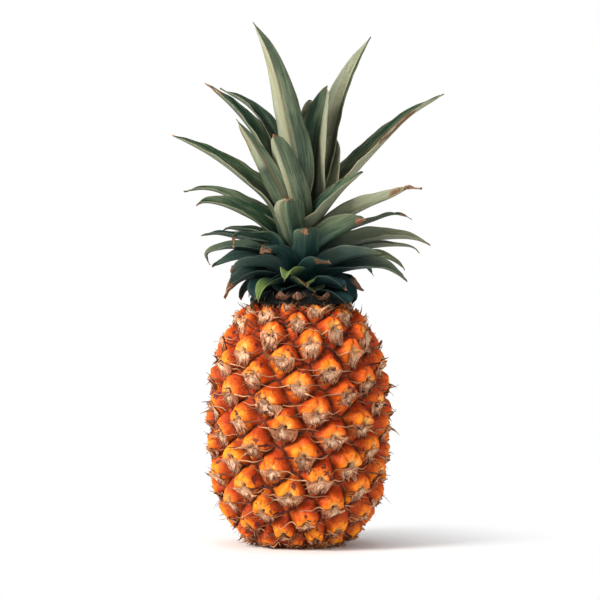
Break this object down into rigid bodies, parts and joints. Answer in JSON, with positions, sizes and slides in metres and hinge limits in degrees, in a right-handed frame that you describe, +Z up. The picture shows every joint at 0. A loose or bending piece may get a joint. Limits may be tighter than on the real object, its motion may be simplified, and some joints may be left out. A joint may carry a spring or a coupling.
{
  "type": "pineapple",
  "caption": "Whole fresh pineapple standing on its cut base: a barrel-shaped fruit of spiralling eyes under a tall crown of arching, channelled leaves.",
  "frame": {"origin": "centre of the flat cut base, on the surface the fruit stands on", "axes": "+Z up along the fruit's axis towards the tip of the crown; the side the picture shows faces -Y, +X is to its right"},
  "size_m": [0.1831, 0.1448, 0.3457],
  "materials": {
    "fruit_skin": "waxy orange eyes with papery tan bracts and dark maroon crevices",
    "cut_stalk": "dry fibrous end grain",
    "crown_stem": "pale green, matt",
    "leaf": "grey-green with a pale bloom, tan dried tips",
    "dry_bract": "dry, papery"
  },
  "bodies": {
    "root": {"fruit": "fruit_skin", "cut_stalk": "cut_stalk", "crown_stem": "crown_stem", "leaf_inner_1": "leaf", "leaf_inner_2": "leaf", "leaf_inner_3": "leaf", "leaf_inner_4": "leaf", "leaf_inner_5": "leaf", "leaf_inner_6": "leaf", "leaf_mid_1": "leaf", "leaf_mid_2": "leaf", "leaf_mid_3": "leaf", "leaf_mid_4": "leaf", "leaf_mid_5": "leaf", "leaf_mid_6": "leaf", "leaf_mid_7": "leaf", "leaf_mid_8": "leaf", "leaf_mid_9": "leaf", "leaf_mid_10": "leaf", "leaf_mid_11": "leaf", "leaf_mid_12": "leaf", "leaf_mid_13": "leaf", "leaf_low_1": "leaf", "leaf_low_2": "leaf", "leaf_low_3": "leaf", "leaf_low_4": "leaf", "leaf_low_5": "leaf", "leaf_low_6": "leaf", "leaf_low_7": "leaf", "leaf_drooping_1": "leaf", "leaf_drooping_2": "leaf", "leaf_drooping_3": "leaf", "leaf_drooping_4": "leaf", "leaf_drooping_5": "leaf", "leaf_drooping_6": "leaf", "leaf_low_8": "leaf", "leaf_low_9": "leaf", "leaf_low_10": "leaf", "leaf_low_11": "leaf", "leaf_drooping_7": "leaf", "leaf_drooping_8": "leaf", "leaf_drooping_9": "leaf", "leaf_shoulder_1": "leaf", "leaf_shoulder_2": "leaf", "leaf_back_1": "leaf", "leaf_back_2": "leaf", "leaf_back_3": "leaf", "leaf_back_4": "leaf", "leaf_back_5": "leaf", "leaf_back_6": "leaf", "leaf_back_7": "leaf", "leaf_back_8": "leaf", "leaf_back_9": "leaf", "leaf_back_10": "leaf", "leaf_back_11": "leaf", "collar_bract_1": "dry_bract", "collar_bract_2": "dry_bract", "collar_bract_3": "dry_bract", "collar_bract_4": "dry_bract", "leaf_collar": "leaf"}
  },
  "joints": []
}
